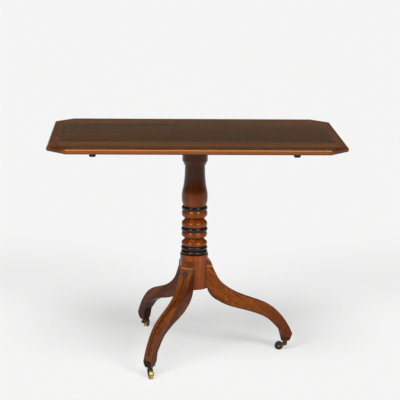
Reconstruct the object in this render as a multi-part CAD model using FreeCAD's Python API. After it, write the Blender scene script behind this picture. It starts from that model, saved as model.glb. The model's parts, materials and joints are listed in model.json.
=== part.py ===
import FreeCAD, Part
import math
import os
from FreeCAD import Vector

# Tilt-top tea table, in millimetres. It stands on the floor at z = 0, with the
# origin under the pillar, +X along the top's long side and +Y to the back.

# Top
table_height = 724.0
top_length = 920.0
top_width = 603.5
corner_cut_length = 59.0
corner_cut_width = 62.5
panel_thickness = 16.0
edge_upper_radius = 6.5
edge_lower_radius = 4.5
quirk_inset = 8.5
quirk_width = 1.4
quirk_depth = 1.3
banding_width = 21.5
stringing_width = 2.0
veneer_thickness = 1.5

# Battens that keep the top flat
batten_left_inset = 139.5
batten_right_inset = 157.0
batten_width = 20.0
batten_depth = 18.0
batten_setback = 58.5
batten_end_bevel = 3.0

# Tilt block and the pivot near its front edge
block_length = 200.0
block_width = 180.0
block_thickness = 27.0
nose_gap = 0.3
tenon_radius = 23.0
tenon_drop = 0.4
wedge_thickness = 3.5
wedge_depth = 20.0
pin_radius = 7.0
pin_grip = 32.0
pin_reach = 20.0
pin_clearance = 0.08
pin_end_gap = 1.0

# Bearers that carry the top on the pins
bearer_width = 28.0
bearer_depth = 30.0
bearer_nose = 34.0
bearer_tail = 225.0
bearer_end_bevel = 9.0
bearer_gap = 0.8

# Slide bolt behind the block, drawn back, and its keeper
bolt_plate_length = 46.0
bolt_plate_width = 36.0
bolt_plate_thickness = 2.0
bolt_plate_gap = 6.0
bolt_width = 8.0
bolt_height = 5.0
bolt_length = 42.0
bolt_travel = 11.0
bolt_nose_gap = 2.0
bolt_clearance = 0.3
guide_length = 18.0
guide_width = 6.0
guide_wall = 2.0
knob_radius = 4.0
knob_height = 9.0
keeper_length = 26.0
keeper_height = 11.0
keeper_thickness = 1.5
mortise_depth = 16.0

# Pillar, from the floor up
pillar_clearance = 218.0
drum_height = 93.5
drum_radius = 44.0
band_height = 19.1
band_swell = 1.5
base_ring_height = 13.5
base_ring_swell = 4.6
waist_ring_height = 14.6
waist_ring_swell = 4.2
middle_ring_height = 14.6
middle_ring_swell = 4.2
shoulder_ring_height = 14.1
shoulder_ring_swell = 3.4
bun_radius = 41.8
lower_bun_height = 23.4
upper_bun_height = 27.6
ring_groove_depth = 3.2
bun_foot_depth = 6.0
bun_groove_depth = 5.0
bun_groove_bevel = 6.5
bun_groove_undercut = 4.0
shoulder_inset = 1.6
shoulder_height = 3.0
neck_radius = 32.5
belly_swell = 9.7
collar_swell = 3.8
collar_height = 5.0
collar_cove_height = 3.5
ovolo_height = 9.5
ovolo_lip = 0.9
ovolo_swell = 5.0
capital_height = 41.0
capital_bevel = 1.2

# Legs
leg_names = ("right", "back", "front")
heel_radius = 325.5
heel_height = 59.0
hip_width = 41.0
foot_width = 26.0
foot_length = 26.5
foot_heel_inset = 9.0
foot_bevel_width = 2.75
foot_bevel_height = 12.0
ankle_inset = 10.8
ankle_height = 76.0
hip_roll_width = 13.5
hip_roll_drop = 18.5
hip_roll_bulge = 1.8
hip_list_height = 5.0
hip_root_depth = 8.5
leg_arris_radius = 3.6
scoop_radius = 16.0
scoop_depth = 3.5
flute_radius = 2.6
side_flute_radius = 1.1
side_flute_spread = 6.2
dovetail_depth = 16.0
dovetail_tip_width = 21.0
dovetail_root_width = 14.0
dovetail_shoulder = 10.0

# Iron bracket under the pillar
bracket_hub_radius = 33.0
bracket_thickness = 3.0
bracket_arm_width = 18.0
bracket_arm_reach = 75.0
bracket_screw_ring = 21.0
bracket_screw_reach = 64.0
bracket_screw_sink = 0.4

# Casters
caster_headroom = 6.0
caster_inset = 13.2
caster_plate_radius = 9.8
caster_plate_thickness = 2.2
caster_screw_inset = 2.8
spigot_radius = 3.5
spigot_length = 15.0
pintle_radius = 2.5
pintle_length = 10.0
pintle_end_gap = 0.5
swivel_gap = 0.3
swivel_clearance = 0.08
wheel_setback = 6.0
wheel_radius = 14.0
wheel_width = 12.0
wheel_edge_radius = 1.8
wheel_dish_depth = 1.3
wheel_dish_outer = 11.0
wheel_dish_inner = 5.0
fork_eye_radius = 7.2
fork_eye_height = 8.5
fork_web_back = 6.4
fork_web_front = 3.8
fork_web_lift = 5.0
fork_web_drop = 5.5
fork_cheek_thickness = 2.0
fork_cheek_gap = 0.6
fork_cheek_radius = 4.6
axle_radius = 2.0
axle_clearance = 0.08
axle_head_radius = 3.0
axle_head_height = 0.8

# Countersunk wood screws
small_screw_head = 1.9
small_screw_shank = 1.0
small_screw_length = 9.0
medium_screw_head = 3.4
medium_screw_shank = 1.8
medium_screw_length = 16.0
large_screw_head = 4.4
large_screw_shank = 2.4
batten_screw_length = 29.0
bearer_screw_length = 38.0
screw_slot_width = 0.9
overrun = 5.0

# Directions in which the wheels trail, the first leg's direction and the angle
# from one leg to the next, in degrees
trail_angles = {"right": 170.0, "back": 66.0, "front": 277.0}
leg_first_angle = 1.8
leg_step_angle = 360.0 / len(leg_names)

# Leg curves: each point is a share of the way out from the pillar's drum to the
# heel and a share of the height from the foot's base to the pillar drum's top.
leg_top_shares = [
    (0.066, 0.892), (0.084, 0.852), (0.105, 0.809), (0.133, 0.756), (0.223, 0.660), (0.382, 0.569),
    (0.577, 0.499), (0.723, 0.434), (0.817, 0.362), (0.888, 0.283), (0.953, 0.186)]
leg_under_shares = [
    (0.042, 0.581), (0.107, 0.521), (0.232, 0.453), (0.417, 0.397), (0.597, 0.339),
    (0.712, 0.277), (0.779, 0.213)]
baluster_shares = [
    (0.00, 0.50), (0.06, 0.80), (0.12, 0.95), (0.19, 1.00), (0.27, 0.96), (0.36, 0.80),
    (0.47, 0.49), (0.58, 0.28), (0.70, 0.11), (0.84, 0.02), (1.00, 0.00)]
scoop_share = 0.045
flute_start_share = 0.075
side_flute_start_share = 0.12
flute_end_share = 0.955
bulge_peak_share = 0.50
bearer_screw_shares = (0.35, 0.90)
batten_screw_shares = (0.08, 0.50, 0.92)
screw_point_share = 0.25
arm_point_shares = (0.25, 0.50, 0.75, 1.0)

# Places worked out from the sizes above
leg_angles = {name: leg_first_angle + index * leg_step_angle for index, name in enumerate(leg_names)}
underside_z = table_height - panel_thickness
block_bottom_z = underside_z - block_thickness
pivot_y = -block_width / 2 + block_thickness / 2
pivot_z = underside_z - block_thickness / 2
drum_top_z = pillar_clearance + drum_height
bolt_z = underside_z - bolt_plate_thickness - guide_wall / 2 - bolt_height / 2
border_start = quirk_inset + quirk_width
border_end = border_start + banding_width
band_radius = drum_radius + band_swell
ring_groove_radius = bun_radius - ring_groove_depth
bun_foot_radius = bun_radius - bun_foot_depth
bun_groove_radius = bun_foot_radius - bun_groove_depth
shoulder_radius = ring_groove_radius - shoulder_inset
collar_radius = neck_radius + collar_swell
capital_radius = collar_radius + ovolo_swell
hip_root_radius = drum_radius - hip_root_depth
foot_height = 2 * wheel_radius + caster_headroom
foot_outer_radius = heel_radius - foot_heel_inset
foot_inner_radius = foot_outer_radius - foot_length
ankle_radius = foot_inner_radius - ankle_inset
caster_ring_radius = foot_outer_radius - caster_inset
caster_trail = wheel_radius + wheel_setback


def box(x_low, x_high, y_low, y_high, z_low, z_high):
    corner = Vector(min(x_low, x_high), min(y_low, y_high), min(z_low, z_high))
    return Part.makeBox(abs(x_high - x_low), abs(y_high - y_low), abs(z_high - z_low), corner)


def rod(start, direction, length, radius):
    return Part.makeCylinder(radius, length, start, direction)


def prism(outline, z_low, z_high):
    """An upright prism over a plan outline of (x, y) points."""
    points = [Vector(x, y, z_low) for x, y in outline]
    face = Part.Face(Part.makePolygon(points + points[:1]))
    return face.extrude(Vector(0, 0, z_high - z_low))


def slab(outline, y_low, y_high):
    """A slab across Y whose side view is an outline of (x, z) points."""
    points = [Vector(x, y_low, z) for x, z in outline]
    face = Part.Face(Part.makePolygon(points + points[:1]))
    return face.extrude(Vector(0, y_high - y_low, 0))


def turned(edges):
    """A solid turned about Z from profile edges in the XZ plane."""
    profile = Part.Face(Part.Wire(Part.__sortEdges__(edges)))
    return profile.revolve(Vector(0, 0, 0), Vector(0, 0, 1), 360)


def line(start, end):
    return Part.LineSegment(start, end).toShape()


def spline(points):
    curve = Part.BSplineCurve()
    curve.interpolate(points)
    return curve


def around(solid, azimuth):
    """A copy of a solid that was made along +X, turned about the pillar."""
    copy = solid.copy()
    copy.rotate(Vector(0, 0, 0), Vector(0, 0, 1), azimuth)
    return copy


def at_angle(radius, azimuth, z):
    angle = math.radians(azimuth)
    return Vector(radius * math.cos(angle), radius * math.sin(angle), z)


def join(solids):
    whole = solids[0]
    for solid in solids[1:]:
        whole = whole.fuse(solid)
    return whole.removeSplitter()


def write(name, solids):
    shape = solids[0] if len(solids) == 1 else Part.makeCompound(solids)
    shape.exportStep("parts/" + name + ".step")


def screw_body(place, direction, head, shank, length):
    """A countersunk screw without its slot; place is the middle of its head."""
    head_depth = head - shank
    point_length = length * screw_point_share
    head_end = place + direction * head_depth
    shank_end = place + direction * (length - point_length)
    cone = Part.makeCone(head, shank, head_depth, place, direction)
    stem = Part.makeCylinder(shank, length - point_length - head_depth, head_end, direction)
    point = Part.makeCone(shank, 0, point_length, shank_end, direction)
    return cone.fuse([stem, point])


def screw_set(places, direction, head, shank, length):
    """Slotted screws at several places, and the bodies that cut their holes."""
    bodies = [screw_body(place, direction, head, shank, length) for place in places]
    across = direction.cross(Vector(0, 0, 1))
    if across.Length < shank / head:
        across = Vector(1, 0, 0)
    slotted = []
    for place, body in zip(places, bodies):
        slot = Part.makeBox(2 * head, screw_slot_width, screw_slot_width)
        slot.translate(Vector(-head, -screw_slot_width / 2, -screw_slot_width / 2))
        slot.Placement = FreeCAD.Placement(
            place, FreeCAD.Rotation(across, Vector(0, 0, 1), direction, "XZY")) * slot.Placement
        slotted.append(body.cut(slot))
    return slotted, bodies


def octagon(inset):
    """The corners of the top's outline with every side moved inwards."""
    slant = math.hypot(corner_cut_length, corner_cut_width)
    side_x = top_length / 2 - inset
    side_y = top_width / 2 - inset
    reach = corner_cut_width * top_length / 2 + corner_cut_length * top_width / 2
    reach -= corner_cut_length * corner_cut_width + inset * slant
    corner_y = (reach - corner_cut_width * side_x) / corner_cut_length
    corner_x = (reach - corner_cut_length * side_y) / corner_cut_width
    return [
        (side_x, -corner_y), (side_x, corner_y), (corner_x, side_y), (-corner_x, side_y),
        (-side_x, corner_y), (-side_x, -corner_y), (-corner_x, -side_y), (corner_x, -side_y)]


def border_strips(outer_inset, inner_inset, depth):
    """Mitred strips in the top's face, one along each side."""
    outer = octagon(outer_inset)
    inner = octagon(inner_inset)
    strips = []
    for index in range(len(outer)):
        after = (index + 1) % len(outer)
        outline = [outer[index], outer[after], inner[after], inner[index]]
        strips.append(prism(outline, table_height - depth, table_height))
    return strips


def border_channel(outer_inset, inner_inset, depth):
    low = table_height - depth
    high = table_height + overrun
    return prism(octagon(outer_inset), low, high).cut(prism(octagon(inner_inset), low, high))


def make_panel(holes):
    panel = prism(octagon(0), underside_z, table_height)
    middle_z = table_height - panel_thickness / 2
    upper = [edge for edge in panel.Edges if edge.BoundBox.ZMin > middle_z]
    panel = panel.makeFillet(edge_upper_radius, upper)
    lower = [edge for edge in panel.Edges if edge.BoundBox.ZMax < underside_z + edge_lower_radius / 2]
    panel = panel.makeFillet(edge_lower_radius, lower)
    quirk = border_channel(quirk_inset, border_start, quirk_depth)
    recess = border_channel(border_start, border_end + stringing_width, veneer_thickness)
    return panel.cut([quirk, recess] + holes)


def batten_x(side):
    inset = batten_left_inset if side < 0 else batten_right_inset
    return side * (top_length / 2 - inset)


def make_batten(side, holes):
    low_x = batten_x(side) - batten_width / 2
    end_y = top_width / 2 - batten_setback
    batten = box(low_x, low_x + batten_width, -end_y, end_y, underside_z - batten_depth, underside_z)
    under = [edge for edge in batten.Edges if edge.BoundBox.ZMax < underside_z - batten_depth / 2]
    return batten.makeChamfer(batten_end_bevel, under).cut(holes)


def batten_screw_places(side):
    end_y = top_width / 2 - batten_setback
    places = []
    for share in batten_screw_shares:
        places.append(Vector(batten_x(side), -end_y + 2 * end_y * share, underside_z - batten_depth))
    return places


def make_bearer(side, holes):
    inner_x = side * (block_length / 2 + bearer_gap)
    outer_x = inner_x + side * bearer_width
    front_y = pivot_y - bearer_nose
    back_y = pivot_y + bearer_tail
    bottom_z = underside_z - bearer_depth
    bearer = box(inner_x, outer_x, front_y, back_y, bottom_z, underside_z)
    ends = []
    for edge in bearer.Edges:
        if edge.BoundBox.ZMax < pivot_z and edge.BoundBox.XLength > bearer_width / 2:
            ends.append(edge)
    bearer = bearer.makeChamfer(bearer_end_bevel, ends)
    bore_start = Vector(inner_x, pivot_y, pivot_z)
    bore = rod(bore_start, Vector(side, 0, 0), pin_reach + pin_end_gap, pin_radius + pin_clearance)
    return bearer.cut([bore] + holes)


def bearer_screw_places(side):
    """One screw ahead of the pivot pin and the others behind it."""
    middle_x = side * (block_length / 2 + bearer_gap + bearer_width / 2)
    nose_y = pivot_y - (pin_radius + bearer_nose - bearer_end_bevel) / 2
    tail_ys = [pivot_y + bearer_tail * share for share in bearer_screw_shares]
    return [Vector(middle_x, y, underside_z - bearer_depth) for y in [nose_y] + tail_ys]


def make_pin(side):
    start = Vector(side * (block_length / 2 - pin_grip), pivot_y, pivot_z)
    return rod(start, Vector(side, 0, 0), pin_grip + bearer_gap + pin_reach, pin_radius)


def make_block(pins, holes):
    """The block's front edge is rounded about the pivot, to clear the tipping top."""
    back_y = block_width / 2
    half_length = block_length / 2
    board = box(-half_length, half_length, pivot_y, back_y, block_bottom_z, underside_z)
    nose_radius = block_thickness / 2 - nose_gap
    nose = rod(Vector(-half_length, pivot_y, pivot_z), Vector(1, 0, 0), block_length, nose_radius)
    tenon_hole = rod(Vector(0, 0, block_bottom_z), Vector(0, 0, 1), block_thickness, tenon_radius)
    mortise = bolt_passage(back_y - mortise_depth, back_y)
    return board.fuse(nose).removeSplitter().cut([tenon_hole, keeper_body(), mortise] + pins + holes)


def keeper_body():
    """The keeper without its hole, let into the block's back and flush with its top."""
    back_y = block_width / 2
    return box(
        -keeper_length / 2, keeper_length / 2, back_y - keeper_thickness, back_y,
        underside_z - keeper_height, underside_z)


def bolt_passage(y_low, y_high):
    half_width = bolt_width / 2 + bolt_clearance
    half_height = bolt_height / 2 + bolt_clearance
    return box(-half_width, half_width, y_low, y_high, bolt_z - half_height, bolt_z + half_height)


def make_keeper(holes):
    back_y = block_width / 2
    return keeper_body().cut([bolt_passage(back_y - keeper_thickness, back_y)] + holes)


def make_bolt_plate(holes):
    """The plate with the two guides that the bolt slides in."""
    front_y = block_width / 2 + bolt_plate_gap
    back_y = front_y + bolt_plate_width
    plate_bottom_z = underside_z - bolt_plate_thickness
    guide_bottom_z = bolt_z - bolt_height / 2 - guide_wall
    plate = box(-bolt_plate_length / 2, bolt_plate_length / 2, front_y, back_y, plate_bottom_z, underside_z)
    guides = []
    for guide_y in (front_y, back_y - guide_width):
        guides.append(box(
            -guide_length / 2, guide_length / 2, guide_y, guide_y + guide_width,
            guide_bottom_z, plate_bottom_z))
    return join([plate] + guides).cut([bolt_passage(front_y, back_y)] + holes)


def make_bolt():
    front_y = block_width / 2 + bolt_nose_gap
    half_width = bolt_width / 2
    half_height = bolt_height / 2
    bar = box(
        -half_width, half_width, front_y, front_y + bolt_length, bolt_z - half_height, bolt_z + half_height)
    knob_y = block_width / 2 + bolt_plate_gap + bolt_plate_width / 2 + bolt_travel / 2
    knob = rod(Vector(0, knob_y, bolt_z), Vector(0, 0, -1), half_height + knob_height, knob_radius)
    return join([bar, knob])


def swell(start_radius, start_z, peak_radius, peak_z):
    """An arc of the profile from its start to a peak or a waist, where it is upright."""
    rise = start_z - peak_z
    depth = peak_radius - start_radius
    arc_radius = (depth * depth + rise * rise) / (2 * depth)
    half_angle = math.asin(rise / arc_radius) / 2
    middle = Vector(
        peak_radius - arc_radius * (1 - math.cos(half_angle)), 0,
        peak_z + arc_radius * math.sin(half_angle))
    return Part.Arc(Vector(start_radius, 0, start_z), middle, Vector(peak_radius, 0, peak_z)).toShape()


def make_pillar_profile():
    """The profile's edges, from the underside up to the capital."""
    edges = []
    place = Vector(drum_radius, 0, pillar_clearance)

    def straight_to(radius, z):
        nonlocal place
        end = Vector(radius, 0, z)
        if (end - place).Length > 0:
            edges.append(line(place, end))
        place = end

    def bulge(height, start_radius, peak_radius, end_radius):
        nonlocal place
        straight_to(start_radius, place.z)
        peak_z = place.z + height * bulge_peak_share
        end_z = place.z + height
        edges.append(swell(start_radius, place.z, peak_radius, peak_z))
        edges.append(swell(end_radius, end_z, peak_radius, peak_z))
        place = Vector(end_radius, 0, end_z)

    def ring(height, ring_swell):
        ring_radius = ring_groove_radius + ring_swell
        bulge(height, ring_groove_radius, ring_radius, ring_groove_radius)

    def pair_of_buns(height):
        """Two round mouldings that meet in a deep bevelled groove."""
        bulge(height - bun_groove_bevel, ring_groove_radius, bun_radius, bun_foot_radius)
        straight_to(bun_groove_radius, place.z + bun_groove_bevel)
        straight_to(bun_foot_radius, place.z + bun_groove_undercut)
        bulge(height - bun_groove_undercut, bun_foot_radius, bun_radius, ring_groove_radius)

    straight_to(drum_radius, drum_top_z)
    straight_to(band_radius, drum_top_z)
    straight_to(band_radius, drum_top_z + band_height)
    ring(base_ring_height, base_ring_swell)
    ring(waist_ring_height, waist_ring_swell)
    pair_of_buns(lower_bun_height)
    ring(middle_ring_height, middle_ring_swell)
    pair_of_buns(upper_bun_height)
    ring(shoulder_ring_height, shoulder_ring_swell)
    straight_to(shoulder_radius, place.z)
    straight_to(shoulder_radius, place.z + shoulder_height)

    capital_z = block_bottom_z - capital_height
    ovolo_z = capital_z - ovolo_height
    cove_z = ovolo_z - collar_height
    neck_z = cove_z - collar_cove_height
    belly_z = place.z
    points = []
    for height_share, swell_share in baluster_shares:
        radius = neck_radius + swell_share * belly_swell
        points.append(Vector(radius, 0, belly_z + height_share * (neck_z - belly_z)))
    straight_to(points[0].x, belly_z)
    edges.append(spline(points).toShape())
    place = points[-1]
    edges.append(swell(collar_radius, cove_z, neck_radius, neck_z))
    place = Vector(collar_radius, 0, cove_z)
    straight_to(collar_radius, ovolo_z)
    straight_to(collar_radius + ovolo_lip, ovolo_z)
    edges.append(swell(collar_radius + ovolo_lip, ovolo_z, capital_radius, capital_z))
    place = Vector(capital_radius, 0, capital_z)
    straight_to(capital_radius, block_bottom_z - capital_bevel)
    straight_to(capital_radius - capital_bevel, block_bottom_z)
    straight_to(tenon_radius, block_bottom_z)
    straight_to(tenon_radius, underside_z - tenon_drop)
    straight_to(0, underside_z - tenon_drop)
    straight_to(0, pillar_clearance)
    straight_to(drum_radius, pillar_clearance)
    return edges


def make_pillar(dovetails, wedge, holes):
    return turned(make_pillar_profile()).cut(dovetails + [wedge] + holes)


def make_wedge():
    top_z = underside_z - tenon_drop
    half_width = math.sqrt(tenon_radius ** 2 - (wedge_thickness / 2) ** 2)
    return box(
        -wedge_thickness / 2, wedge_thickness / 2, -half_width, half_width, top_z - wedge_depth, top_z)


def leg_point(share):
    out_share, height_share = share
    radius = drum_radius + out_share * (heel_radius - drum_radius)
    return Vector(radius, 0, foot_height + height_share * (drum_top_z - foot_height))


def hip_list_top():
    """The foot of the hip's roll, where a narrow upright list begins."""
    return Vector(band_radius + hip_roll_width, 0, drum_top_z - hip_roll_drop)


def leg_top_curve():
    start = hip_list_top() - Vector(0, 0, hip_list_height)
    heel = Vector(heel_radius, 0, heel_height)
    return spline([start] + [leg_point(share) for share in leg_top_shares] + [heel])


def hip_roll_outwards():
    """The direction square to the hip's roll, out of the wood."""
    return Vector(hip_roll_drop, 0, hip_roll_width).normalize()


def leg_under_curve():
    start = Vector(band_radius, 0, pillar_clearance)
    ankle = Vector(ankle_radius, 0, ankle_height)
    return spline([start] + [leg_point(share) for share in leg_under_shares] + [ankle])


def leg_half_width(radius):
    share = (radius - drum_radius) / (heel_radius - drum_radius)
    return (hip_width + share * (foot_width - hip_width)) / 2


def leg_under_crossing(radius):
    """The parameter and point at which the leg's under curve reaches a radius."""
    curve = leg_under_curve()
    wall = Part.Plane(Vector(radius, 0, 0), Vector(1, 0, 0))
    point = curve.intersectCS(wall)[0][0].toShape().Point
    return curve.parameter(point), point


def make_dovetail():
    root_radius = drum_radius + dovetail_shoulder / 2
    tip_radius = drum_radius - dovetail_depth
    outline = [
        (tip_radius, -dovetail_tip_width / 2), (root_radius, -dovetail_root_width / 2),
        (root_radius, dovetail_root_width / 2), (tip_radius, dovetail_tip_width / 2)]
    return prism(outline, pillar_clearance, drum_top_z - dovetail_shoulder)


def make_flute(start_share, radius, offset):
    """A round groove along the leg's upper face, at an offset from its middle."""
    curve = leg_top_curve()
    curve.translate(Vector(0, offset, 0))
    first = curve.FirstParameter
    span = curve.LastParameter - first
    start = first + start_share * span
    end = first + flute_end_share * span
    path = Part.Wire([curve.toShape(start, end)])
    start_point = curve.value(start)
    section = Part.Wire([Part.makeCircle(radius, start_point, curve.tangent(start)[0])])
    sweep = Part.BRepOffsetAPI.MakePipeShell(path)
    sweep.setBiNormalMode(Vector(0, 1, 0))
    sweep.add(section)
    sweep.build()
    sweep.makeSolid()
    ends = [Part.makeSphere(radius, point) for point in (start_point, curve.value(end))]
    return [sweep.shape()] + ends


def make_scoop():
    """The round hollow under the hip's list, where the middle flute begins."""
    curve = leg_top_curve()
    place = curve.FirstParameter + scoop_share * (curve.LastParameter - curve.FirstParameter)
    along = curve.tangent(place)[0]
    outwards = Vector(-along.z, 0, along.x)
    return Part.makeSphere(scoop_radius, curve.value(place) + outwards * (scoop_radius - scoop_depth))


def leg_hollows():
    hollows = [make_scoop()] + make_flute(flute_start_share, flute_radius, 0)
    for side in (-1, 1):
        hollows += make_flute(side_flute_start_share, side_flute_radius, side * side_flute_spread)
    return hollows


def foot_bevels():
    """Wedges that narrow the foot's sides towards its base."""
    wedges = []
    for side in (-1, 1):
        full_y = side * foot_width / 2
        base_y = full_y - side * foot_bevel_width
        slope = (full_y - base_y) / foot_bevel_height
        low_z = foot_height - overrun
        high_z = foot_height + foot_bevel_height + overrun
        outer_y = full_y + side * overrun
        points = [
            Vector(ankle_radius, base_y - slope * overrun, low_z),
            Vector(ankle_radius, full_y + slope * overrun, high_z),
            Vector(ankle_radius, outer_y + slope * overrun, high_z), Vector(ankle_radius, outer_y, low_z)]
        face = Part.Face(Part.makePolygon(points + points[:1]))
        wedges.append(face.extrude(Vector(heel_radius - ankle_radius + overrun, 0, 0)))
    return wedges


def make_leg():
    """One leg along +X; its inner end is hollowed to fit the pillar's drum."""
    top_curve = leg_top_curve()
    under_curve = leg_under_curve()
    root_top = Vector(hip_root_radius, 0, drum_top_z)
    hip_top = Vector(band_radius, 0, drum_top_z)
    list_top = hip_list_top()
    list_foot = top_curve.value(top_curve.FirstParameter)
    roll_middle = (hip_top + list_top) / 2 + hip_roll_outwards() * hip_roll_bulge
    heel = top_curve.value(top_curve.LastParameter)
    foot_outer = Vector(foot_outer_radius, 0, foot_height)
    foot_inner = Vector(foot_inner_radius, 0, foot_height)
    ankle = under_curve.value(under_curve.LastParameter)
    hip_under = under_curve.value(under_curve.FirstParameter)
    root_under = Vector(hip_root_radius, 0, pillar_clearance)
    edges = [
        line(root_top, hip_top), Part.Arc(hip_top, roll_middle, list_top).toShape(),
        line(list_top, list_foot), top_curve.toShape(), line(heel, foot_outer),
        line(foot_outer, foot_inner), line(foot_inner, ankle), under_curve.toShape(),
        line(hip_under, root_under), line(root_under, root_top)]
    profile = Part.Face(Part.Wire(Part.__sortEdges__(edges)))
    profile.translate(Vector(0, -hip_width, 0))
    blank = profile.extrude(Vector(0, 2 * hip_width, 0))
    root_half = leg_half_width(hip_root_radius)
    tip_radius = heel_radius + overrun
    tip_half = leg_half_width(tip_radius)
    plan = prism(
        [(hip_root_radius, -root_half), (tip_radius, -tip_half), (tip_radius, tip_half),
         (hip_root_radius, root_half)], 0, table_height)
    leg = blank.common(plan)
    long_edges = [edge for edge in leg.Edges if edge.BoundBox.XLength > heel_radius / 2]
    upper = [edge for edge in long_edges if edge.BoundBox.ZMax > pillar_clearance + hip_roll_drop]
    leg = leg.makeFillet(leg_arris_radius, upper)
    drum = rod(Vector(0, 0, pillar_clearance), Vector(0, 0, 1), drum_height, drum_radius)
    return leg.cut(foot_bevels() + [drum] + leg_hollows()).fuse(make_dovetail()).removeSplitter()


def strap_normal(parameter):
    """The direction out of the wood, square to the leg's under curve."""
    along = leg_under_curve().tangent(parameter)[0]
    return Vector(along.z, 0, -along.x)


def bracket_screws():
    """Screws up into the pillar's foot, and one through each arm into its leg."""
    hub_places = []
    for azimuth in leg_angles.values():
        hub_places.append(at_angle(bracket_screw_ring, azimuth, pillar_clearance - bracket_thickness))
    screws, holes = screw_set(
        hub_places, Vector(0, 0, 1), medium_screw_head, medium_screw_shank, medium_screw_length)
    parameter, point = leg_under_crossing(bracket_screw_reach)
    outwards = strap_normal(parameter)
    head = point + outwards * (bracket_thickness - bracket_screw_sink)
    arm_screws, arm_holes = screw_set(
        [head], -outwards, medium_screw_head, medium_screw_shank, medium_screw_length)
    arm_holes = [arm_holes[0].fuse(rod(head, outwards, overrun, medium_screw_head))]
    for azimuth in leg_angles.values():
        screws.append(around(arm_screws[0], azimuth))
        holes.append(around(arm_holes[0], azimuth))
    return screws, holes, arm_holes


def make_bracket(holes):
    """A hub under the pillar, with an arm bent along the underside of each leg."""
    curve = leg_under_curve()
    first = curve.FirstParameter
    last, tip = leg_under_crossing(bracket_arm_reach)
    along = curve.tangent(first)[0]
    bend_setback = bracket_thickness * math.tan(math.atan2(-along.z, along.x) / 2)
    low_root = Vector(0, 0, pillar_clearance - bracket_thickness)
    low_points = [low_root + Vector(band_radius - bend_setback, 0, 0)]
    for share in arm_point_shares:
        parameter = first + share * (last - first)
        low_points.append(curve.value(parameter) + strap_normal(parameter) * bracket_thickness)
    edges = [
        line(Vector(0, 0, pillar_clearance), curve.value(first)), curve.toShape(first, last),
        line(tip, low_points[-1]), spline(low_points).toShape(), line(low_points[0], low_root),
        line(low_root, Vector(0, 0, pillar_clearance))]
    profile = Part.Face(Part.Wire(Part.__sortEdges__(edges)))
    profile.translate(Vector(0, -bracket_arm_width / 2, 0))
    arm = profile.extrude(Vector(0, bracket_arm_width, 0))
    hub = rod(low_root, Vector(0, 0, 1), bracket_thickness, bracket_hub_radius)
    arms = [around(arm, azimuth) for azimuth in leg_angles.values()]
    return join([hub] + arms).cut(holes)


def under_foot(name, solid, turn=0):
    """Moves a caster piece from the origin to its leg, turned about the pintle."""
    copy = around(solid, turn)
    copy.translate(Vector(caster_ring_radius, 0, 0))
    return around(copy, leg_angles[name])


def make_caster_plate(holes):
    plate_bottom_z = foot_height - caster_plate_thickness
    plate = rod(Vector(0, 0, plate_bottom_z), Vector(0, 0, 1), caster_plate_thickness, caster_plate_radius)
    pintle_base = Vector(0, 0, plate_bottom_z - pintle_length)
    pintle = rod(pintle_base, Vector(0, 0, 1), pintle_length, pintle_radius)
    return join([plate, make_spigot(), pintle]).cut(holes)


def make_spigot():
    return rod(Vector(0, 0, foot_height), Vector(0, 0, 1), spigot_length, spigot_radius)


def make_fork():
    """The eye turns on the pintle, and two cheeks run back to the axle."""
    top_z = foot_height - caster_plate_thickness - swivel_gap
    eye_bottom_z = top_z - fork_eye_height
    inner_y = wheel_width / 2 + fork_cheek_gap
    outer_y = inner_y + fork_cheek_thickness
    eye = rod(Vector(0, 0, eye_bottom_z), Vector(0, 0, 1), fork_eye_height, fork_eye_radius)
    web_top_z = top_z - fork_web_drop
    web_bottom_z = wheel_radius + fork_web_lift
    web = box(-fork_web_back, fork_web_front, -outer_y, outer_y, web_bottom_z, web_top_z)
    slant = fork_cheek_radius * math.sqrt(1 / 2)
    outline = [
        (-fork_web_back, web_bottom_z), (-fork_web_back, web_top_z), (fork_web_front, web_top_z),
        (caster_trail + slant, wheel_radius + slant), (caster_trail - slant, wheel_radius - slant)]
    pieces = [eye, web]
    for side in (-1, 1):
        pieces.append(slab(outline, side * inner_y, side * outer_y))
        end_start = Vector(caster_trail, side * inner_y, wheel_radius)
        pieces.append(rod(end_start, Vector(0, side, 0), fork_cheek_thickness, fork_cheek_radius))
    bore_length = pintle_length - swivel_gap + pintle_end_gap
    bore_radius = pintle_radius + swivel_clearance
    bore = rod(Vector(0, 0, top_z - bore_length), Vector(0, 0, 1), bore_length, bore_radius)
    return join(pieces).cut([bore, make_axle()])


def make_axle():
    half_length = wheel_width / 2 + fork_cheek_gap + fork_cheek_thickness
    start = Vector(caster_trail, -half_length, wheel_radius)
    pieces = [rod(start, Vector(0, 1, 0), 2 * half_length, axle_radius)]
    for side in (-1, 1):
        head_start = Vector(caster_trail, side * half_length, wheel_radius)
        pieces.append(rod(head_start, Vector(0, side, 0), axle_head_height, axle_head_radius))
    return join(pieces)


def make_wheel():
    """A solid wheel with dished sides, turned about the axle."""
    half_width = wheel_width / 2
    bore_radius = axle_radius + axle_clearance
    start = Vector(0, 0, -half_width)
    wheel = rod(start, Vector(0, 0, 1), wheel_width, wheel_radius)
    rims = [edge for edge in wheel.Edges if edge.BoundBox.ZLength < wheel_edge_radius]
    wheel = wheel.makeFillet(wheel_edge_radius, rims)
    cuts = [rod(start, Vector(0, 0, 1), wheel_width, bore_radius)]
    for low_z in (-half_width, half_width - wheel_dish_depth):
        dish = rod(Vector(0, 0, low_z), Vector(0, 0, 1), wheel_dish_depth, wheel_dish_outer)
        cuts.append(dish.cut(rod(Vector(0, 0, low_z), Vector(0, 0, 1), wheel_dish_depth, wheel_dish_inner)))
    wheel = wheel.cut(cuts)
    wheel.rotate(Vector(0, 0, 0), Vector(1, 0, 0), 90)
    wheel.translate(Vector(caster_trail, 0, wheel_radius))
    return wheel


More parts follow.
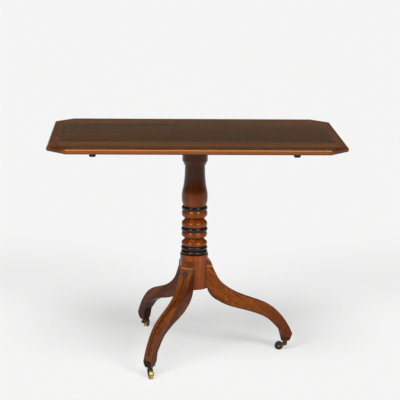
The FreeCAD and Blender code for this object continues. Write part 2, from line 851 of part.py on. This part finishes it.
def make_top():
    up = Vector(0, 0, 1)
    panel_holes = []
    batten_screws = []
    bearer_screws = []
    for name, side in (("left", -1), ("right", 1)):
        screws, holes = screw_set(
            batten_screw_places(side), up, large_screw_head, large_screw_shank, batten_screw_length)
        write("batten_" + name, [make_batten(side, holes)])
        batten_screws += screws
        panel_holes += holes
        screws, holes = screw_set(
            bearer_screw_places(side), up, large_screw_head, large_screw_shank, bearer_screw_length)
        write("bearer_" + name, [make_bearer(side, holes)])
        bearer_screws += screws
        panel_holes += holes
    write("batten_screws", batten_screws)
    write("bearer_screws", bearer_screws)

    plate_x = bolt_plate_length / 2 - 2 * medium_screw_head
    plate_y = block_width / 2 + bolt_plate_gap + bolt_plate_width / 2
    plate_side = bolt_plate_width / 2 - 2 * medium_screw_head
    places = [
        Vector(side_x * plate_x, plate_y + side_y * plate_side, underside_z - bolt_plate_thickness)
        for side_x in (-1, 1) for side_y in (-1, 1)]
    screws, holes = screw_set(places, up, medium_screw_head, medium_screw_shank, small_screw_length)
    write("bolt_plate", [make_bolt_plate(holes)])
    write("bolt_screws", screws)
    write("slide_bolt", [make_bolt()])
    panel_holes += holes

    write("top_panel", [make_panel(panel_holes)])
    write("crossbanding", border_strips(border_start, border_end, veneer_thickness))
    write("stringing", border_strips(border_end, border_end + stringing_width, veneer_thickness))


def make_base():
    pins = [make_pin(side) for side in (-1, 1)]
    write("pivot_pin_left", [pins[0]])
    write("pivot_pin_right", [pins[1]])
    keeper_x = keeper_length / 2 - 2 * small_screw_head
    places = [Vector(side * keeper_x, block_width / 2, bolt_z) for side in (-1, 1)]
    screws, holes = screw_set(
        places, Vector(0, -1, 0), small_screw_head, small_screw_shank, small_screw_length)
    write("keeper_plate", [make_keeper(holes)])
    write("keeper_screws", screws)
    write("tilt_block", [make_block(pins, holes)])

    wedge = make_wedge()
    write("tenon_wedge", [wedge])
    screws, holes, arm_holes = bracket_screws()
    dovetails = [around(make_dovetail(), azimuth) for azimuth in leg_angles.values()]
    write("pillar", [make_pillar(dovetails, wedge, holes)])
    write("spider_bracket", [make_bracket(holes)])
    write("bracket_screws", screws)
    plate_holes = [make_spigot()] + caster_screws()[1]
    for hole in plate_holes:
        hole.translate(Vector(caster_ring_radius, 0, 0))
    leg = make_leg().cut(arm_holes + plate_holes)
    for name, azimuth in leg_angles.items():
        write("leg_" + name, [around(leg, azimuth)])


def caster_screws():
    plate_bottom_z = foot_height - caster_plate_thickness
    screw_ring = caster_plate_radius - caster_screw_inset
    places = [Vector(side * screw_ring, 0, plate_bottom_z) for side in (-1, 1)]
    return screw_set(places, Vector(0, 0, 1), small_screw_head, small_screw_shank, small_screw_length)


def make_casters():
    screws, holes = caster_screws()
    for name in leg_angles:
        turn = trail_angles[name] - leg_angles[name]
        write("caster_plate_" + name, [under_foot(name, make_caster_plate(holes))])
        write("caster_screws_" + name, [under_foot(name, screw) for screw in screws])
        write("caster_fork_" + name, [under_foot(name, make_fork(), turn)])
        write("caster_axle_" + name, [under_foot(name, make_axle(), turn)])
        write("caster_wheel_" + name, [under_foot(name, make_wheel(), turn)])


os.makedirs("parts", exist_ok=True)
make_top()
make_base()
make_casters()
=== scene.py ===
import json
import math

import bpy
from mathutils import Matrix, Vector

# Tilt-top tea table: the finish of every piece, the studio and the camera, in metres, around the
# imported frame. The table gets no piece of its own here: each node keeps its solid's shape and is
# given a material.

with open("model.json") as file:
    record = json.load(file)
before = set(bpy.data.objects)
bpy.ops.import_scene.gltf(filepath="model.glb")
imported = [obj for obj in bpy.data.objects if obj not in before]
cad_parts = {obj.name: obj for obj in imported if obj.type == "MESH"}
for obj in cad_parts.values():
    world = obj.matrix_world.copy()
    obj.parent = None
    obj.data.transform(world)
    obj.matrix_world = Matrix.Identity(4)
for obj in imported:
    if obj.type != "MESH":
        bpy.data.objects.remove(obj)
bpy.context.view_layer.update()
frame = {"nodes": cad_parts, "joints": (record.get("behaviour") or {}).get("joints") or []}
nodes = frame["nodes"]

# The sRGB standard's curve between screen colours and linear ones
screen_white = 255
linear_limit = 0.04045
linear_slope = 12.92
curve_offset = 0.055
curve_power = 2.4


def srgb(red, green, blue):
    """A screen colour from 0 to 255 as the linear colour that shaders take."""
    channels = []
    for value in (red, green, blue):
        share = value / screen_white
        if share <= linear_limit:
            channels.append(share / linear_slope)
        else:
            channels.append(((share + curve_offset) / (1 + curve_offset)) ** curve_power)
    return (*channels, 1.0)


def grey(share):
    """A linear grey from 0 to 1."""
    return (share, share, share, 1.0)


# Camera, as fitted to the photograph
camera_turn = math.radians(-2.30213)
camera_pitch = math.radians(-12.00963)
camera_roll = math.radians(-0.62126)
camera_place = Vector((-0.17325, -4.73534, 1.51478))
focal_pixels = 1504.46
picture_pixels = 400
sensor_millimetres = 36.0

# Lamps: two keys, left and right of the camera, and one high above it
key_angle = math.radians(36)
key_height = math.radians(30)
key_softness = math.radians(20)
right_key_power = 1.38
left_key_power = 1.32
top_light_height = math.radians(62)
top_light_softness = math.radians(34)
top_light_power = 2.0

# Floor: what the camera and reflections see of it glows, what lights the object is plainer
floor_size = 80.0
floor_glow = 0.525
floor_cover = 0.38
floor_bounce = 0.42

# Room: a pale horizon, a band of haze above it and a dim rest, split at sines of angles above level
horizon_glow = 0.55
horizon_top = math.sin(math.radians(4.0))
haze_start = math.sin(math.radians(6.0))
haze_end = math.sin(math.radians(9.0))
haze_glow = 0.15
haze_tint = (1.0, 0.94, 0.68)
room_start = math.sin(math.radians(9.3))
room_glow = 0.012

# Ways the grain runs: along X, up, or along Y
unturned = (0.0, 0.0, 0.0)
upright = (0.0, math.radians(90), 0.0)
across_top = (0.0, 0.0, math.radians(90))

# Patterns: three sizes in metres (along the grain, where it has one, then across it), followed by
# the detail, the roughness and the distortion
broad_pattern = ((0.60, 0.045, 0.045), 2.0, 0.5, 0.3)
ribbon_pattern = ((0.30, 0.009, 0.009), 3.0, 0.6, 0.4)
line_pattern = ((0.07, 0.0016, 0.0016), 3.0, 0.65, 0.0)
pore_pattern = ((0.0065, 0.00045, 0.00045), 2.0, 0.5, 0.0)
blotch_pattern = ((0.12, 0.05, 0.05), 3.0, 0.55, 0.0)
fleck_pattern = ((0.016, 0.008, 0.008), 3.0, 0.6, 0.0)
rub_and_highlight_pattern = ((0.012, 0.012, 0.012), 3.0, 0.6, 0.0)
wander_pattern = ((0.5, 0.25, 0.25), 2.0, 0.5, 0.0)
chip_pattern = ((0.004, 0.004, 0.002), 4.0, 0.6, 0.0)
patch_pattern = ((0.006, 0.006, 0.006), 4.0, 0.6, 0.0)
scratch_pattern = ((0.0012, 0.0004, 0.0012), 2.0, 0.5, 0.0)

# Samples of the nodes that look for grooves and edges, and the cosines over which an edge fades in
crevice_samples = 6
bevel_samples = 4
arris_span = (0.99, 0.80)

# Wood: where patterns turn into tones, pores, stains, grooves darkened by dirt and painted shade,
# and edges lightened by wear and, on the legs, a painted highlight
pattern_middle = 0.5
line_share = 0.45
tone_levels = (0.26, 0.50, 0.74)
stain_span = (0.40, 0.70)
pore_span = (0.60, 0.72)
pore_share = 0.55
pore_colour = srgb(26, 9, 3)
# Grooves darken towards this colour: dirt, and painted shade
dirt_and_shade_colour = srgb(20, 9, 5)
rub_and_highlight_span = (0.35, 0.65)
# Edges lighten towards this colour: wear, and on the legs a painted highlight as well
rub_and_highlight_colour = srgb(168, 96, 48)
gloss_span = (0.3, 0.7)
gloss_fall = 0.03
gloss_rise = 0.06
pore_roughness = 0.2
line_height = 0.5
wood_relief = 0.00010
varnish_tint = (1.0, 0.82, 0.62, 1.0)

# Legs: how far down their grain slopes, and the way each points, in degrees
leg_slope = math.radians(38)
leg_angles = {"right": 1.8, "back": 121.8, "front": 241.8}

# Tones of each wood: dark, middle and light
top_tones = (srgb(80, 40, 18), srgb(100, 51, 22), srgb(120, 64, 28))
band_tones = (srgb(80, 39, 18), srgb(98, 51, 24), srgb(118, 66, 32))
string_tones = (srgb(20, 12, 9), srgb(30, 18, 12), srgb(42, 26, 18))
leg_tones = (srgb(78, 33, 11), srgb(114, 57, 21), srgb(146, 80, 33))
pillar_tones = (srgb(86, 38, 10), srgb(130, 65, 24), srgb(166, 92, 38))
under_tones = (srgb(58, 34, 22), srgb(84, 52, 34), srgb(108, 72, 48))

# Figure of the top's board: stripes laid over the grain, from its front to its back along Y; the
# olive band near the back is a painted reflection of the pale room
amber = srgb(226, 226, 150)
back_reflection_olive = srgb(172, 162, 138)
umber = srgb(122, 98, 92)
plain = srgb(128, 128, 128)
stripe_span = (-0.30, 0.36)
stripe_wander = 0.05
stripe_share = 0.75
stripes = [
    (0.00, plain), (0.04, amber), (0.07, umber), (0.11, umber), (0.14, amber), (0.20, amber),
    (0.26, plain), (0.36, umber), (0.62, umber), (0.78, plain), (0.82, back_reflection_olive), (0.93, back_reflection_olive),
    (0.98, plain)]

# Painted highlight on the top's rounded rim, by how far its surface faces up and to the ends
rim_levels = [(0.0, grey(0.45)), (0.30, grey(0.45)), (0.50, grey(1.0)), (0.75, grey(1.0)),
              (0.93, grey(0.0))]
rim_under_span = (-0.5, -0.1)
rim_share = 0.62
rim_end_span = (0.12, 0.32)
rim_end_share = 0.12
rim_highlight_colour = srgb(190, 112, 54)

# Heights of the pillar's mouldings, from the floor up
pillar_base = 0.218
band_top = 0.3306
lower_rings_top = 0.3587
middle_ring_base = 0.4055
middle_ring_top = 0.4201
shoulder_ring_base = 0.4753
shoulder_ring_top = 0.4894
neck_top = 0.622

# Colours of the pillar: black rings with worn chips, and a painted shadow of the top that darkens
# up the neck, with painted light on the belly below it
ring_colour = srgb(30, 27, 26)
chip_span = (0.68, 0.76)
chip_cover = 0.35
top_shadow_span = (0.49, 0.70)
top_shadow_share = 0.8
top_shadow_levels = [(0.0, srgb(204, 184, 162)), (0.25, srgb(154, 128, 98)), (0.5, srgb(128, 80, 34)),
               (1.0, srgb(120, 70, 26))]

# Colours of a leg: its foot, painted shade on its lower edges and in the hollow at its hip, and a
# painted highlight on the narrow list at its hip, whose places are in the frame of a leg along +X
foot_span = (0.05, 0.17)
foot_share = 0.6
foot_colour = srgb(72, 42, 34)
lower_edge_radius = 0.008
lower_edge_span = (-0.03, -0.40)
lower_edge_shade_share = 0.8
lower_edge_shade_colour = srgb(34, 16, 10)
# The hollow at the hip gets painted shade
scoop_place = (0.0664, 0.0, 0.2733)
scoop_span = (0.0150, 0.0075)
scoop_share = 0.85
scoop_shade_colour = srgb(62, 53, 54)
# The narrow list at the hip gets a painted highlight
list_height = 0.2915
list_span = (0.0016, 0.0034)
list_share = 0.5
list_highlight_colour = srgb(196, 138, 104)

# Metal: tarnish in patches and corners, and how it dulls
patch_span = (0.42, 0.62)
corner_reach = 0.004
corner_span = (0.95, 0.45)
whole_span = (0.0, 1.0)
tarnish_roughness = 0.25
tarnish_metallic = 0.4
patch_height = 0.6
scratch_height = 0.4
metal_relief = 0.00008
wheel_side_span = (0.5, 0.8)

# Colours of each metal: bright, then tarnished
brass = (srgb(196, 164, 92), srgb(84, 68, 34))
steel = (srgb(150, 148, 144), srgb(58, 48, 42))
iron = (srgb(62, 58, 56), srgb(34, 26, 22))
dark_brass = (srgb(92, 76, 44), srgb(34, 27, 19))
wheel_brass = (srgb(206, 176, 98), srgb(40, 35, 20))

# Sockets of a colour Mix node: first colour, second colour and result
mix_first = 6
mix_second = 7
mix_result = 2


class Finish:
    """A material's node graph, built with short calls."""

    def __init__(self, name):
        self.material = bpy.data.materials.new(name)
        self.material.use_nodes = True
        self.tree = self.material.node_tree
        self.tree.nodes.clear()

    def make(self, kind, **settings):
        node = self.tree.nodes.new("ShaderNode" + kind)
        for name, value in settings.items():
            setattr(node, name, value)
        return node

    def put(self, socket, value):
        """Links a socket's value, or sets it where it is a plain number or colour."""
        if isinstance(value, bpy.types.NodeSocket):
            self.tree.links.new(value, socket)
        else:
            socket.default_value = value

    def math(self, operation, first, second=0.0):
        node = self.make("Math", operation=operation)
        self.put(node.inputs[0], first)
        self.put(node.inputs[1], second)
        return node.outputs[0]

    def place(self):
        """Where a point is on its piece."""
        return self.make("TexCoord").outputs["Object"]

    def facing(self):
        """Where a point's surface faces on its piece."""
        return self.make("TexCoord").outputs["Normal"]

    def part(self, vector, axis):
        node = self.make("SeparateXYZ")
        self.put(node.inputs[0], vector)
        return node.outputs[axis]

    def compare(self, operation, first, second):
        """The distance or the dot product of two vectors."""
        node = self.make("VectorMath", operation=operation)
        self.put(node.inputs[0], first)
        self.put(node.inputs[1], second)
        return node.outputs["Value"]

    def framed(self, place, sizes, turn):
        """Coordinates in a turned frame, where one unit is the given size in metres."""
        node = self.make("Mapping", vector_type="TEXTURE")
        self.put(node.inputs["Vector"], place)
        node.inputs["Rotation"].default_value = turn
        node.inputs["Scale"].default_value = sizes
        return node.outputs[0]

    def noise(self, place, pattern, turn=unturned):
        """One of the patterns above, from 0 to 1."""
        sizes, detail, roughness, distortion = pattern
        framed = self.framed(place, sizes, turn)
        node = self.make("TexNoise")
        self.put(node.inputs["Vector"], framed)
        node.inputs["Scale"].default_value = 1.0
        node.inputs["Detail"].default_value = detail
        node.inputs["Roughness"].default_value = roughness
        node.inputs["Distortion"].default_value = distortion
        return node.outputs["Fac"]

    def sway(self, value, pattern, share):
        """A value moved up and down by a share of a pattern."""
        around = self.math("SUBTRACT", pattern, pattern_middle)
        return self.math("ADD", value, self.math("MULTIPLY", around, share))

    def mix(self, share, first, second, blend="MIX"):
        node = self.make("Mix", data_type="RGBA", blend_type=blend)
        self.put(node.inputs[0], share)
        self.put(node.inputs[mix_first], first)
        self.put(node.inputs[mix_second], second)
        return node.outputs[mix_result]

    def ramp(self, value, stops, mode="LINEAR"):
        """A colour ramp over (position, colour) stops."""
        node = self.make("ValToRGB")
        node.color_ramp.interpolation = mode
        set_stops(node.color_ramp, stops)
        self.put(node.inputs[0], value)
        return node.outputs[0]

    def spread(self, value, span, low=0.0, high=1.0, mode="LINEAR"):
        """A value's span, mapped to the range from low to high and held there."""
        node = self.make("MapRange", clamp=True, interpolation_type=mode)
        for socket, number in zip(node.inputs, (value, *span, low, high)):
            self.put(socket, number)
        return node.outputs[0]

    def crevice(self, reach):
        """1 in the open, falling to 0 deep in a groove of the piece."""
        node = self.make("AmbientOcclusion", samples=crevice_samples, only_local=True)
        node.inputs["Distance"].default_value = reach
        return node.outputs["AO"]

    def rounded(self, radius):
        """The surface's direction, as if its edges were rounded."""
        node = self.make("Bevel", samples=bevel_samples)
        node.inputs["Radius"].default_value = radius
        return node.outputs[0]

    def arris(self, radius):
        """0 on a face, rising on an edge that handling would rub."""
        rounded = self.rounded(radius)
        straight = self.make("NewGeometry").outputs["Normal"]
        return self.spread(self.compare("DOT_PRODUCT", rounded, straight), arris_span)

    def relief(self, height, depth):
        node = self.make("Bump")
        node.inputs["Strength"].default_value = 1.0
        node.inputs["Distance"].default_value = depth
        self.put(node.inputs["Height"], height)
        return node.outputs[0]

    def surface(self, colour, roughness, normal, metallic=0.0, specular=0.5, tint=grey(1.0)):
        """The material, with its shader linked to its output."""
        shader = self.make("BsdfPrincipled")
        self.put(shader.inputs["Base Color"], colour)
        self.put(shader.inputs["Roughness"], roughness)
        self.put(shader.inputs["Normal"], normal)
        self.put(shader.inputs["Metallic"], metallic)
        shader.inputs["Specular IOR Level"].default_value = specular
        shader.inputs["Specular Tint"].default_value = tint
        self.output(shader.outputs[0])
        return self.material

    def shade(self, kind, socket, value):
        """A plain shader with one of its sockets set."""
        node = self.make(kind)
        node.inputs[socket].default_value = value
        return node.outputs[0]

    def choose(self, share, first, second):
        """A shader between two others."""
        node = self.make("MixShader")
        for socket, value in zip(node.inputs, (share, first, second)):
            self.put(socket, value)
        return node.outputs[0]

    def output(self, shader):
        node = self.make("OutputMaterial")
        self.put(node.inputs["Surface"], shader)


def set_stops(ramp, stops):
    """Gives a colour ramp, which starts with two stops, the (position, colour) stops."""
    elements = ramp.elements
    while len(elements) < len(stops):
        elements.new(1.0)
    for element, (position, colour) in zip(elements, stops):
        element.position = position
        element.color = colour


def mahogany(name, tones, turn=unturned, gloss=0.28, specular=0.3, grime_and_shade=0.6, wear_and_highlight=0.5, stain=0.3,
             reach=0.012, dirt_and_shade_span=(0.85, 0.30), edge=0.0018, figure=0.75, mottle=0.0,
             recolour=None):
    """Polished mahogany; its grain runs along X of a frame turned by turn."""
    finish = Finish(name)
    place = finish.place()
    broad = finish.noise(place, broad_pattern, turn)
    ribbon = finish.noise(place, ribbon_pattern, turn)
    lines = finish.noise(place, line_pattern, turn)
    pores = finish.noise(place, pore_pattern, turn)
    blotch = finish.noise(place, blotch_pattern, turn)
    mixed = finish.sway(broad, ribbon, figure)
    mixed = finish.sway(mixed, lines, line_share)
    if mottle > 0:
        flecks = finish.noise(place, fleck_pattern, turn)
        mixed = finish.sway(mixed, flecks, mottle)
    colour = finish.ramp(mixed, list(zip(tone_levels, tones)))
    colour = finish.mix(finish.spread(blotch, stain_span, 0.0, stain), colour, tones[0])
    pore = finish.spread(pores, pore_span, 0.0, pore_share)
    colour = finish.mix(pore, colour, pore_colour)
    if recolour:
        colour = recolour(finish, place, colour)
    # Darker deep in grooves: dirt, and painted shade
    open_share = finish.crevice(reach)
    dirt_and_shade = finish.math("MULTIPLY", finish.spread(open_share, dirt_and_shade_span), grime_and_shade)
    colour = finish.mix(dirt_and_shade, colour, dirt_and_shade_colour)
    # Edges lighten: wear, and where it is raised, on the legs, a painted highlight too
    rub_and_highlight_noise = finish.spread(finish.noise(place, rub_and_highlight_pattern), rub_and_highlight_span, 0.0, wear_and_highlight)
    rub_and_highlight = finish.math("MULTIPLY", finish.arris(edge), rub_and_highlight_noise)
    colour = finish.mix(rub_and_highlight, colour, rub_and_highlight_colour)
    polish = finish.spread(blotch, gloss_span, gloss - gloss_fall, gloss + gloss_rise)
    roughness = finish.math("ADD", polish, finish.math("MULTIPLY", pore, pore_roughness))
    height = finish.math("SUBTRACT", finish.math("MULTIPLY", lines, line_height), pore)
    normal = finish.relief(height, wood_relief)
    return finish.surface(colour, roughness, normal, specular=specular, tint=varnish_tint)


def plain_wood(name, turn=unturned):
    """Dry, oiled wood of the pieces under the top."""
    return mahogany(name, under_tones, turn, gloss=0.55, specular=0.25, grime_and_shade=0.75, wear_and_highlight=0.35)


def metal(name, colours, roughness, spots=0.5, side_cover=None):
    """Old metal: bright where it is rubbed, with tarnish in patches and corners."""
    finish = Finish(name)
    place = finish.place()
    patches = finish.noise(place, patch_pattern)
    scratches = finish.noise(place, scratch_pattern)
    cover = finish.spread(patches, patch_span, 0.0, spots)
    corner = finish.spread(finish.crevice(corner_reach), corner_span)
    cover = finish.math("MAXIMUM", cover, corner)
    if side_cover:
        cover = finish.math("MAXIMUM", cover, side_cover(finish))
    colour = finish.mix(cover, *colours)
    rough = finish.spread(cover, whole_span, roughness, roughness + tarnish_roughness)
    metallic = finish.spread(cover, whole_span, 1.0, tarnish_metallic)
    height = finish.math("ADD", finish.math("MULTIPLY", patches, patch_height),
                         finish.math("MULTIPLY", scratches, scratch_height))
    normal = finish.relief(height, metal_relief)
    return finish.surface(colour, rough, normal, metallic=metallic)


def dress(names, material):
    """Gives every named node one material."""
    for name in names:
        materials = nodes[name].data.materials
        materials.clear()
        materials.append(material)


def top_colours(finish, place, colour):
    """Broad stripes of the board's figure, each a band across the top's width, with a painted
    reflection band near the back.
    """
    depth = finish.part(place, "Y")
    wander = finish.noise(place, wander_pattern)
    across = finish.math("ADD", depth, finish.math("MULTIPLY", wander, stripe_wander))
    figure = finish.ramp(finish.spread(across, stripe_span), stripes)
    return paint_rim_highlight(finish, finish.mix(stripe_share, colour, figure, "OVERLAY"))


def paint_rim_highlight(finish, colour):
    """The rounded edge of the top, with an amber highlight painted where it faces up on the long
    sides.
    """
    facing = finish.facing()
    upward = finish.part(facing, "Z")
    rim = finish.ramp(upward, rim_levels)
    rim = finish.math("MULTIPLY", rim, finish.spread(upward, rim_under_span, 0.0, rim_share))
    endways = finish.math("ABSOLUTE", finish.part(facing, "X"))
    long_side = finish.spread(endways, rim_end_span, 1.0, rim_end_share)
    return finish.mix(finish.math("MULTIPLY", rim, long_side), colour, rim_highlight_colour)


def pillar_colours(finish, place, colour):
    """Blackened rings, then a painted shadow of the top darkening the neck and painted light
    brightening the belly.
    """
    height = finish.part(place, "Z")
    bounds = [band_top, lower_rings_top, middle_ring_base, middle_ring_top, shoulder_ring_base,
              shoulder_ring_top]
    stops = [(0.0, grey(0.0))]
    for index, bound in enumerate(bounds):
        black_above = index % 2 == 0
        share = (bound - pillar_base) / (neck_top - pillar_base)
        stops.append((share, grey(1.0 if black_above else 0.0)))
    black = finish.ramp(finish.spread(height, (pillar_base, neck_top)), stops, "CONSTANT")
    chips = finish.noise(place, chip_pattern)
    black = finish.math("MULTIPLY", black, finish.spread(chips, chip_span, 1.0, chip_cover))
    # Painted light and shade: the belly brightens, and the neck darkens in the top's shadow
    tint = finish.ramp(finish.spread(height, top_shadow_span), top_shadow_levels)
    colour = finish.mix(top_shadow_share, colour, tint, "OVERLAY")
    return finish.mix(black, colour, ring_colour)


def leg_colours(azimuth):
    """Darker towards the foot, with painted shade along the lower edges and in the hip's hollow,
    and a painted highlight on the list.
    """
    def recolour(finish, place, colour):
        height = finish.part(place, "Z")
        foot = finish.spread(height, foot_span, foot_share, 0.0)
        colour = finish.mix(foot, colour, foot_colour)
        # Painted shade on the edges that face down
        tilt = finish.part(finish.rounded(lower_edge_radius), "Z")
        lower_edge_shade = finish.spread(tilt, lower_edge_span, 0.0, lower_edge_shade_share)
        colour = finish.mix(lower_edge_shade, colour, lower_edge_shade_colour)
        # Painted shade in the hollow below the hip
        along = finish.framed(place, (1.0, 1.0, 1.0), (0.0, 0.0, azimuth))
        reach = finish.compare("DISTANCE", along, scoop_place)
        scoop_shade = finish.spread(reach, scoop_span, 0.0, scoop_share)
        colour = finish.mix(scoop_shade, colour, scoop_shade_colour)
        # Painted highlight along the narrow list at the hip
        off_list = finish.math("ABSOLUTE", finish.math("SUBTRACT", height, list_height))
        list_highlight = finish.spread(off_list, list_span, list_share, 0.0, "SMOOTHSTEP")
        return finish.mix(list_highlight, colour, list_highlight_colour)
    return recolour


def wheel_sides(axle):
    """Tarnish on a wheel's sides; its tread is rubbed bright."""
    def cover(finish):
        sideways = finish.math("ABSOLUTE", finish.compare("DOT_PRODUCT", finish.facing(), axle))
        return finish.spread(sideways, wheel_side_span)
    return cover


def dress_wood():
    """Every wooden piece, with the way its grain runs."""
    dress(["top_panel"], mahogany("mahogany_top", top_tones, gloss=0.10, stain=0.15,
                                  recolour=top_colours))
    dress(["crossbanding"], mahogany("banding", band_tones, across_top, gloss=0.10, stain=0.15))
    dress(["stringing"], mahogany("stringing", string_tones, gloss=0.2))
    dress(["batten_left", "batten_right"], plain_wood("batten", across_top))
    dress(["bearer_left", "bearer_right"], plain_wood("bearer", across_top))
    dress(["tenon_wedge"], plain_wood("wedge", upright))
    dress(["tilt_block"], plain_wood("block"))
    dress(["pillar"], mahogany("mahogany_pillar", pillar_tones, upright, gloss=0.10,
                               specular=0.34, figure=0.6, mottle=0.3, recolour=pillar_colours))
    for name, angle in leg_angles.items():
        azimuth = math.radians(angle)
        # The legs' edges lighten more, as wear and a painted highlight
        dress(["leg_" + name],
              mahogany("mahogany_leg_" + name, leg_tones, (0.0, leg_slope, azimuth), gloss=0.26,
                       specular=0.08, grime_and_shade=0.95, wear_and_highlight=0.65, reach=0.006, dirt_and_shade_span=(0.98, 0.80),
                       edge=0.0030, figure=0.35, mottle=0.7, recolour=leg_colours(azimuth)))


def dress_metal():
    """Every metal piece."""
    casters = list(leg_angles)
    dress(["slide_bolt", "bolt_plate", "keeper_plate"], metal("brass", brass, roughness=0.32))
    dress(["bolt_screws", "keeper_screws"],
          metal("brass_screw", brass, roughness=0.38, spots=0.7))
    screws = ["batten_screws", "bearer_screws", "bracket_screws"]
    screws += ["caster_screws_" + name for name in casters]
    dress(screws, metal("steel_screw", steel, roughness=0.42, spots=0.8))
    pins = ["pivot_pin_left", "pivot_pin_right"] + ["caster_axle_" + name for name in casters]
    dress(pins, metal("pin_steel", steel, roughness=0.30))
    dress(["spider_bracket"], metal("iron", iron, roughness=0.55, spots=0.9))
    forks = [piece + name for name in casters for piece in ("caster_plate_", "caster_fork_")]
    dress(forks, metal("caster_dark", dark_brass, roughness=0.42, spots=0.95))
    for joint in frame["joints"]:
        if joint["name"].startswith("spin_"):
            name = joint["name"].removeprefix("spin_")
            dress(["caster_wheel_" + name],
                  metal("caster_brass_" + name, wheel_brass, roughness=0.28, spots=0.55,
                        side_cover=wheel_sides(tuple(joint["axis"]))))


def add_sun(name, turn, height, softness, power):
    """A broad light at an angle round from the front and a height, both in radians."""
    lamp = bpy.data.lights.new(name, "SUN")
    lamp.energy = power
    lamp.angle = softness
    light = bpy.data.objects.new(name, lamp)
    flat = math.cos(height)
    side = Vector((math.sin(turn) * flat, -math.cos(turn) * flat, math.sin(height)))
    light.rotation_euler = side.to_track_quat("Z", "Y").to_euler()
    bpy.context.scene.collection.objects.link(light)


def floor_paper():
    """Paper that glows where it is seen, throws back plain light, and is clear from below."""
    finish = Finish("floor_paper")
    white = finish.shade("BsdfDiffuse", "Color", grey(floor_bounce))
    cover = finish.shade("BsdfDiffuse", "Color", grey(floor_cover))
    glow = finish.shade("Emission", "Strength", floor_glow)
    seen = finish.make("AddShader")
    finish.put(seen.inputs[0], cover)
    finish.put(seen.inputs[1], glow)
    path = finish.make("LightPath")
    direct = finish.math("MAXIMUM", path.outputs["Is Camera Ray"], path.outputs["Is Glossy Ray"])
    direct = finish.math("MAXIMUM", direct, path.outputs["Is Transmission Ray"])
    paper = finish.choose(direct, white, seen.outputs[0])
    below = finish.make("NewGeometry").outputs["Backfacing"]
    finish.output(finish.choose(below, paper, finish.make("BsdfTransparent").outputs[0]))
    return finish.material


def make_floor():
    """A wide sheet of paper that keeps the table's shadow."""
    half = floor_size / 2
    mesh = bpy.data.meshes.new("floor")
    corners = [(-half, -half, 0.0), (half, -half, 0.0), (half, half, 0.0), (-half, half, 0.0)]
    mesh.from_pydata(corners, [], [(0, 1, 2, 3)])
    floor = bpy.data.objects.new("floor", mesh)
    bpy.context.scene.collection.objects.link(floor)
    mesh.materials.append(floor_paper())


def make_world():
    """A pale band at the horizon and a dim room above it, so the top's sheen stays deep."""
    world = bpy.data.worlds.new("room")
    world.use_nodes = True
    tree = world.node_tree
    tree.nodes.clear()
    place = tree.nodes.new("ShaderNodeTexCoord")
    split = tree.nodes.new("ShaderNodeSeparateXYZ")
    ramp = tree.nodes.new("ShaderNodeValToRGB")
    background = tree.nodes.new("ShaderNodeBackground")
    output = tree.nodes.new("ShaderNodeOutputWorld")
    tree.links.new(place.outputs["Generated"], split.inputs[0])
    tree.links.new(split.outputs["Z"], ramp.inputs[0])
    tree.links.new(ramp.outputs[0], background.inputs["Color"])
    tree.links.new(background.outputs[0], output.inputs["Surface"])
    levels = [(horizon_top, horizon_glow), (haze_start, haze_glow), (haze_end, haze_glow),
              (room_start, room_glow)]
    stops = [(height, (*(glow * share for share in haze_tint), 1.0)) for height, glow in levels]
    set_stops(ramp.color_ramp, stops)
    bpy.context.scene.world = world


def make_camera():
    """Looks along +Y at rest, then rolls, pitches and turns as the photograph's camera does."""
    data = bpy.data.cameras.new("camera")
    data.sensor_width = sensor_millimetres
    data.lens = focal_pixels / picture_pixels * sensor_millimetres
    data.clip_end = 2 * floor_size
    camera = bpy.data.objects.new("camera", data)
    level = Matrix.Rotation(math.radians(90), 4, "X")
    turn = Matrix.Rotation(camera_turn, 4, "Z")
    pitch = Matrix.Rotation(camera_pitch, 4, "X")
    roll = Matrix.Rotation(camera_roll, 4, "Y")
    camera.matrix_world = Matrix.Translation(camera_place) @ turn @ pitch @ roll @ level
    bpy.context.scene.collection.objects.link(camera)
    bpy.context.scene.camera = camera


def make_studio():
    make_floor()
    make_world()
    add_sun("right_key", camera_turn + key_angle, key_height, key_softness, right_key_power)
    add_sun("left_key", camera_turn - key_angle, key_height, key_softness, left_key_power)
    add_sun("top_light", camera_turn, top_light_height, top_light_softness, top_light_power)
    make_camera()
    bpy.context.scene.view_settings.view_transform = "Standard"


dress_wood()
dress_metal()
make_studio()
